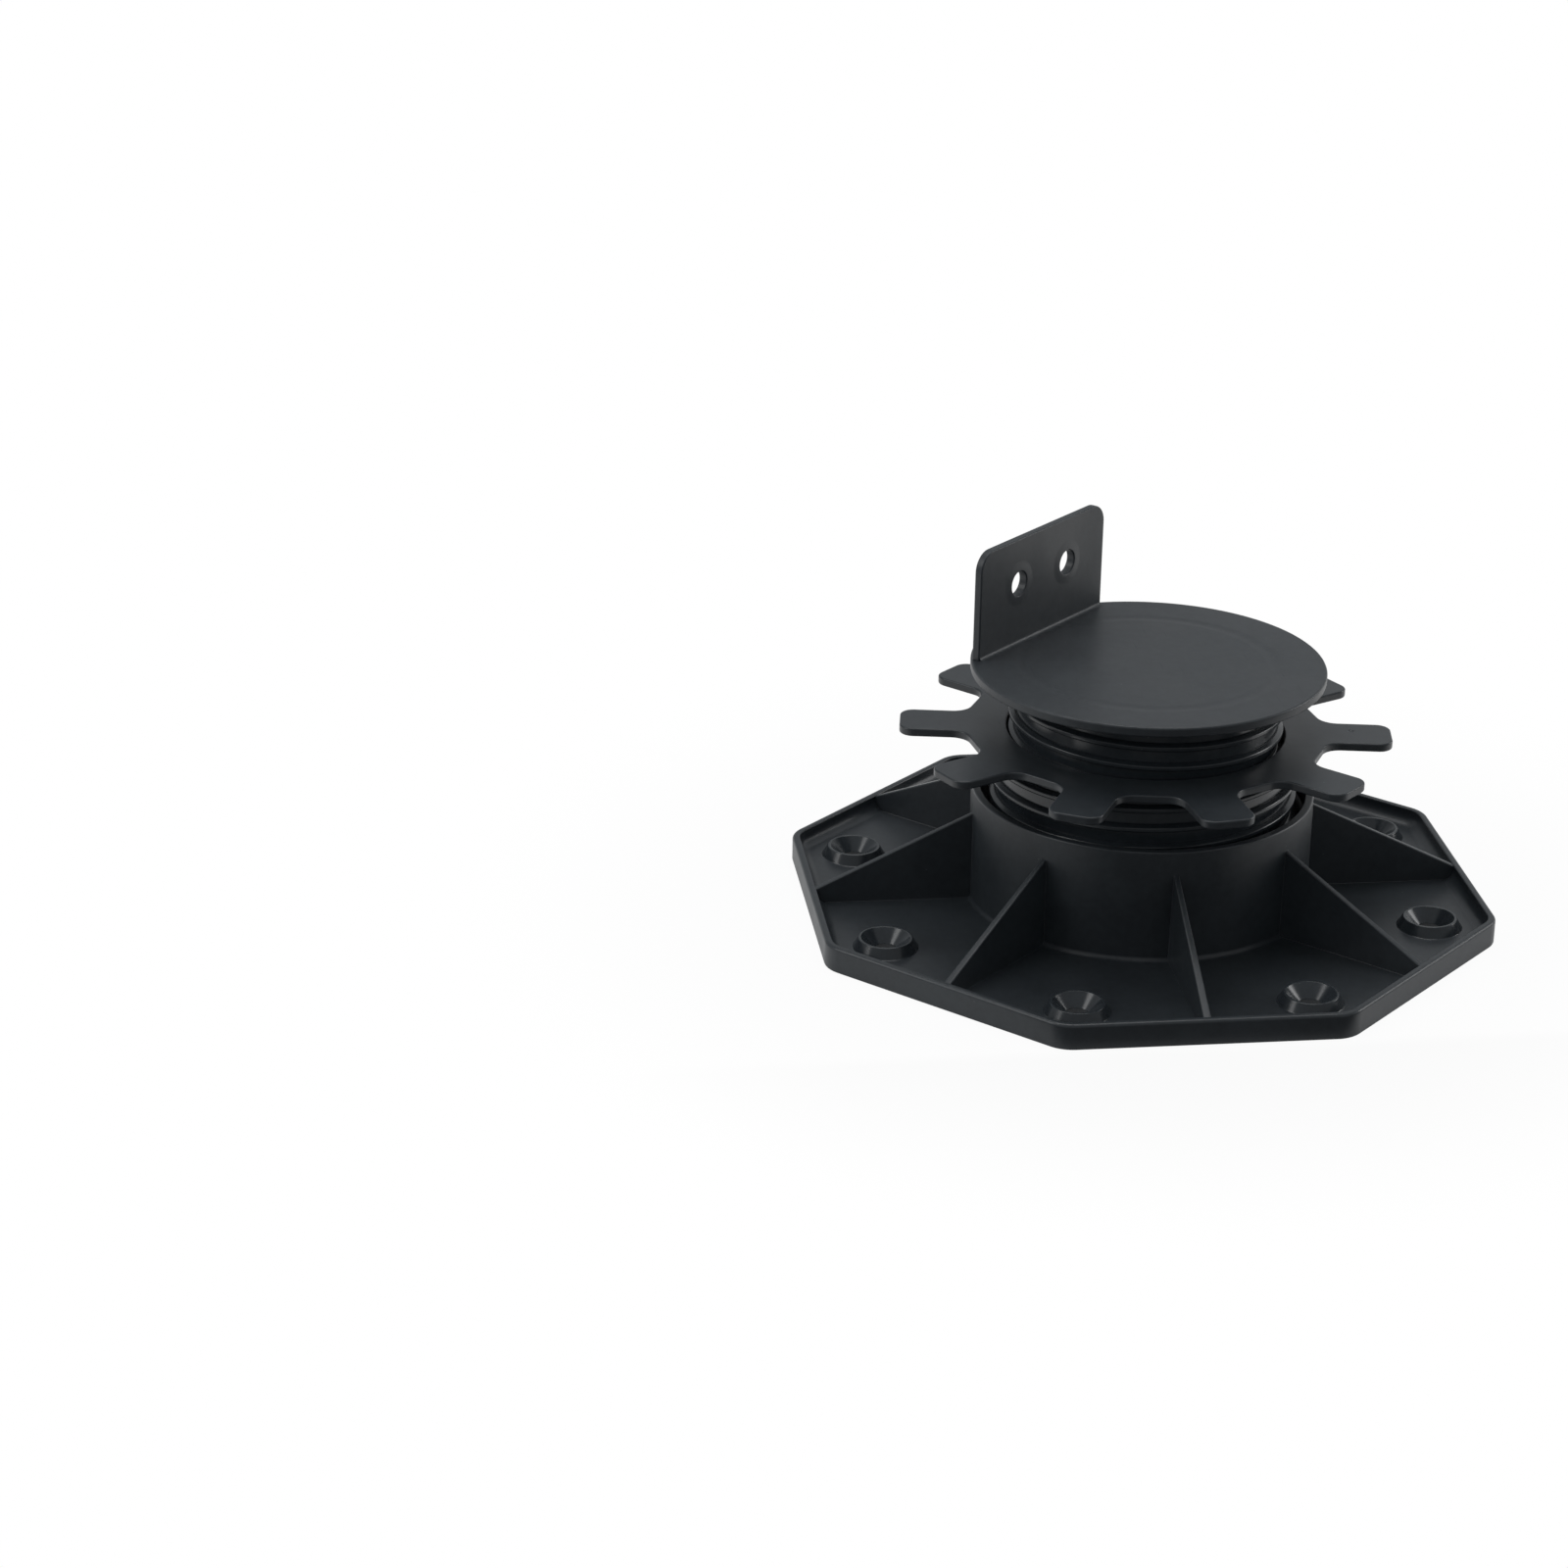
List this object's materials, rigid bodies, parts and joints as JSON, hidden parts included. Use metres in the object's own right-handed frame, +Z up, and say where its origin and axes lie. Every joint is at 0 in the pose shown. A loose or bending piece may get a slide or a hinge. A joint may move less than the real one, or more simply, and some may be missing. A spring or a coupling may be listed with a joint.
{
  "type": "decking pedestal",
  "caption": "Adjustable decking pedestal: octagonal ribbed base with a collar, toothed screw ring and round joist plate with an upright screw tab.",
  "frame": {"origin": "centre of the base's underside", "axes": "+Z up along the threads' axis, -Y square to the base's front side, the head's tab towards -X +Y"},
  "size_m": [0.2, 0.2, 0.1095],
  "materials": {
    "base_plastic": "satin black moulded polypropylene",
    "ring_plastic": "satin black moulded polypropylene",
    "head_plastic": "finely grained black moulded polypropylene"
  },
  "bodies": {
    "base_body": {"base": "base_plastic"},
    "ring_body": {"adjusting_ring": "ring_plastic"},
    "head_body": {"head": "head_plastic"}
  },
  "joints": [
    {"name": "ring_lift", "type": "slide", "parent": "base_body", "child": "ring_body", "axis": [0, 0, 1], "range_m": [-0.0157, 0.0095]},
    {"name": "head_lift", "type": "slide", "parent": "ring_body", "child": "head_body", "axis": [0, 0, 1], "range_m": [-0.0172, 0.0095]}
  ]
}
